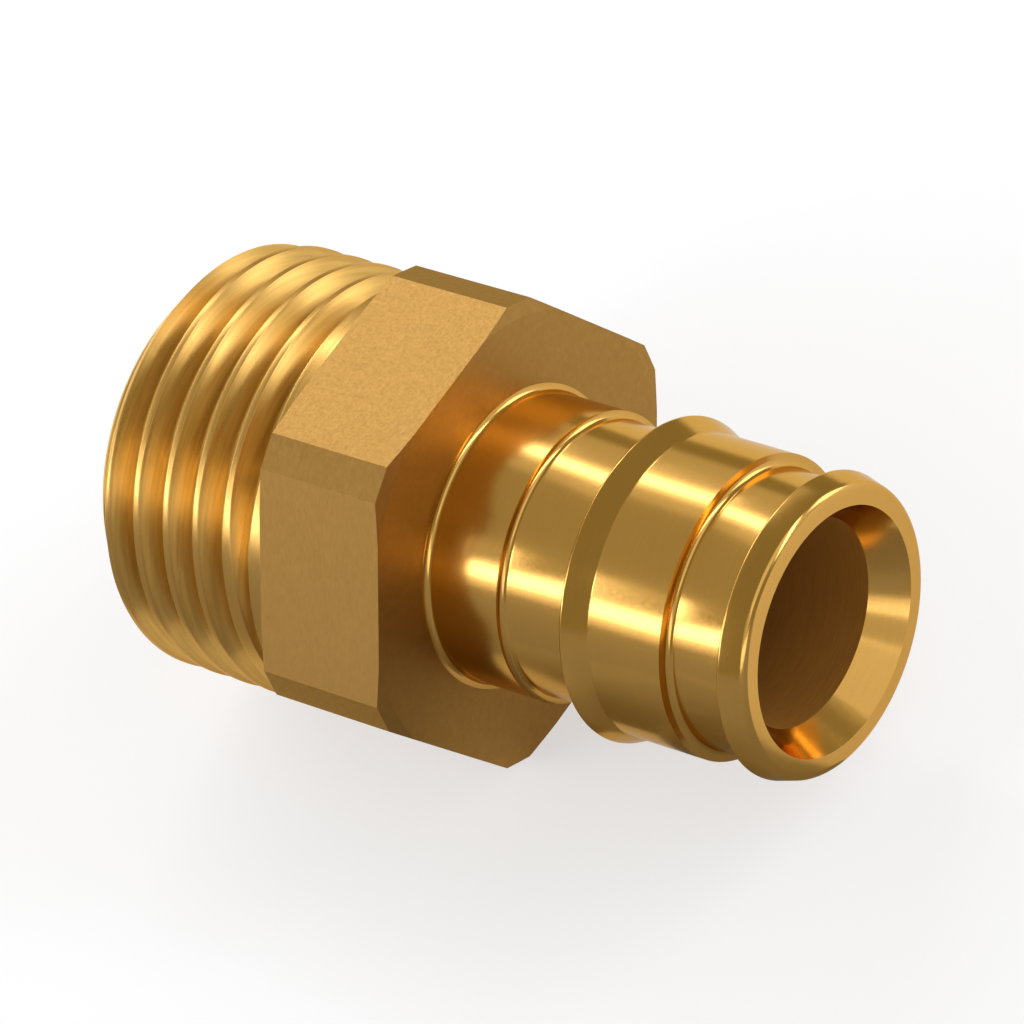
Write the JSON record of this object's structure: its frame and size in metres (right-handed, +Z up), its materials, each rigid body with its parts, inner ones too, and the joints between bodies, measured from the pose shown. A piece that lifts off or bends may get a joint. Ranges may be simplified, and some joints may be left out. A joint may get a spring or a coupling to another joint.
{
  "type": "pex adapter",
  "caption": "Brass pipe adapter with a male pipe thread, a wrench section with cut corners and a stepped nipple for an expanded plastic pipe.",
  "frame": {"origin": "on the ground, under the middle of the whole length; the front face of the wrench section is at the same X", "axes": "+X along the axis towards the nipple's mouth, +Z up from the wrench flat it lies on, +Y to the left when looking along +X"},
  "size_m": [0.036, 0.0232, 0.021],
  "materials": {
    "brass": "turned and lightly brushed brass, satin on the flats and bright on the turned lands"
  },
  "bodies": {
    "root": {"adapter_body": "brass"}
  },
  "joints": []
}
